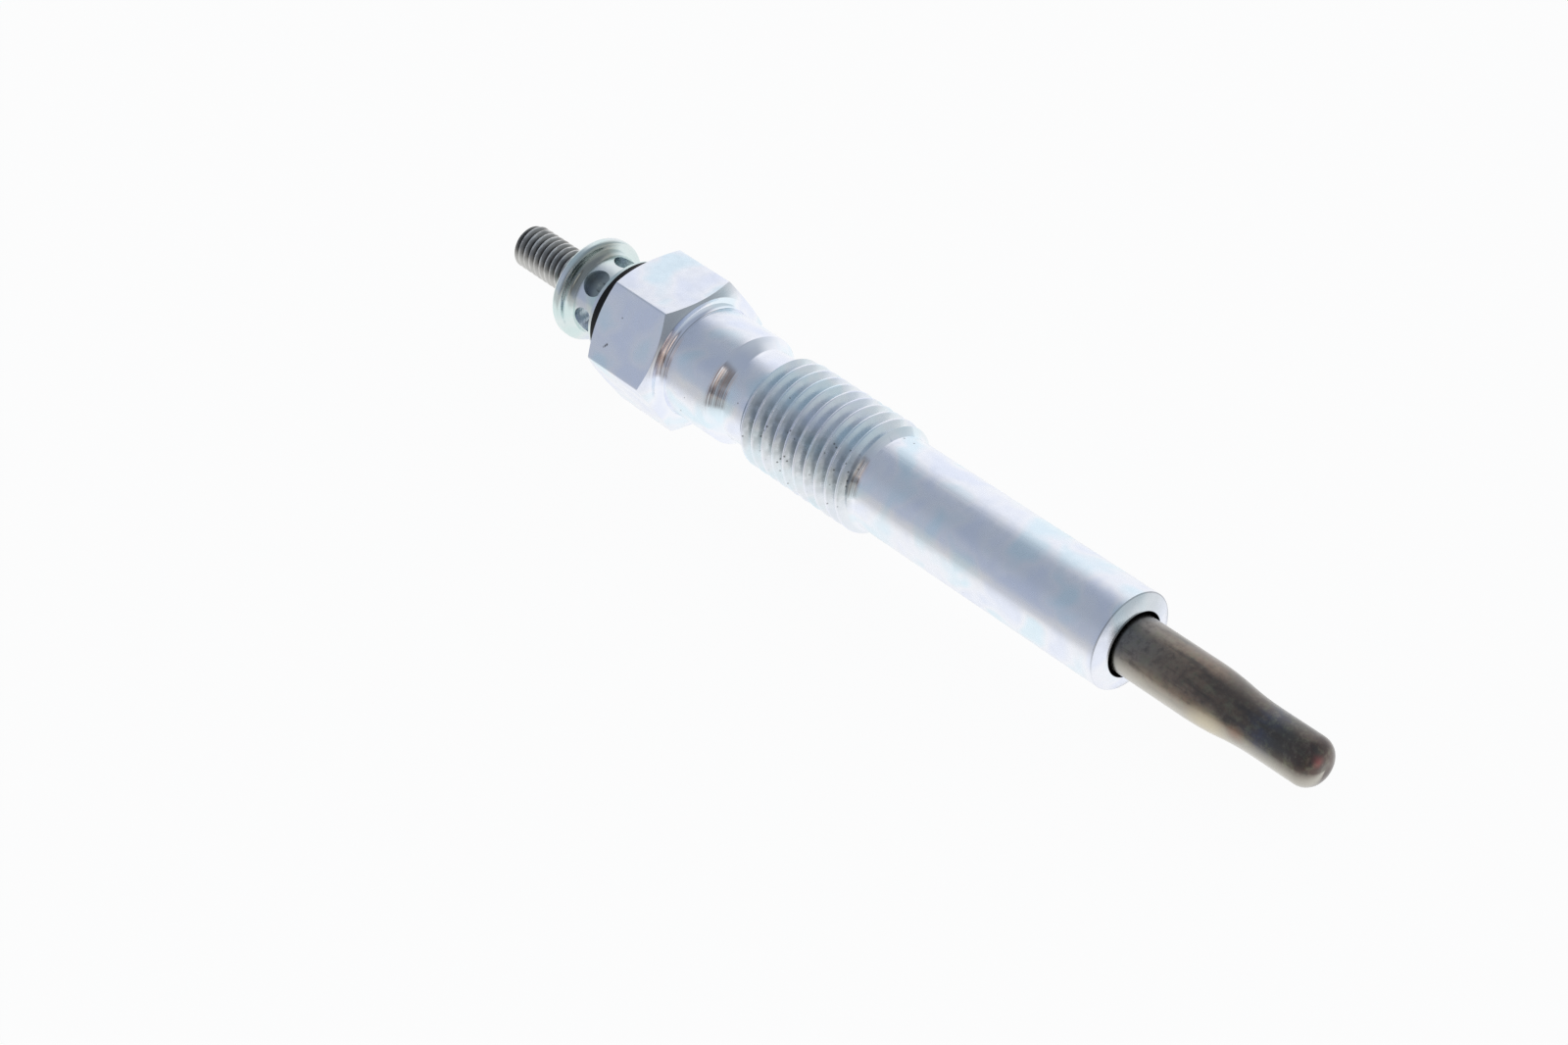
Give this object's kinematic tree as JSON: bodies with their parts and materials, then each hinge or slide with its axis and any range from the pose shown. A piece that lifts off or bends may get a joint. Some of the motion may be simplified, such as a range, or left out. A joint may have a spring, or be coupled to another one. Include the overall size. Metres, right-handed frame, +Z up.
{
  "type": "glow plug",
  "caption": "Pencil-type diesel glow plug: hexagon-headed threaded steel shell with a swaged heater tube at one end and a threaded terminal stud at the other.",
  "frame": {"origin": "centre of the plug's length and width at the floor it lies on", "axes": "+X along the plug towards the heater tip, +Y across, +Z up; the axis dips 2.1 degrees towards the tip, because the plug lies on a flat of its hexagon and on the edge of its nose"},
  "size_m": [0.0917, 0.0138, 0.0123],
  "materials": {
    "zinc_plated_steel": "bright zinc plate, faintly blue",
    "crimp_steel": "turned steel, bright zinc plate with a green tint",
    "stud_steel": "dark rolled steel",
    "heater_alloy": "heat-tinted nickel alloy",
    "black_phenolic": "moulded, matt",
    "seal_rubber": "matt",
    "resistance_wire": "drawn wire",
    "magnesia": "pressed powder"
  },
  "bodies": {
    "root": {"shell": "zinc_plated_steel", "insulating_bush": "black_phenolic", "o_ring": "seal_rubber", "crimp_ring": "crimp_steel", "centre_electrode": "stud_steel", "sheath_tube": "heater_alloy", "sheath_seal": "seal_rubber", "control_coil": "resistance_wire", "heating_coil": "resistance_wire", "insulating_powder": "magnesia"}
  },
  "joints": []
}
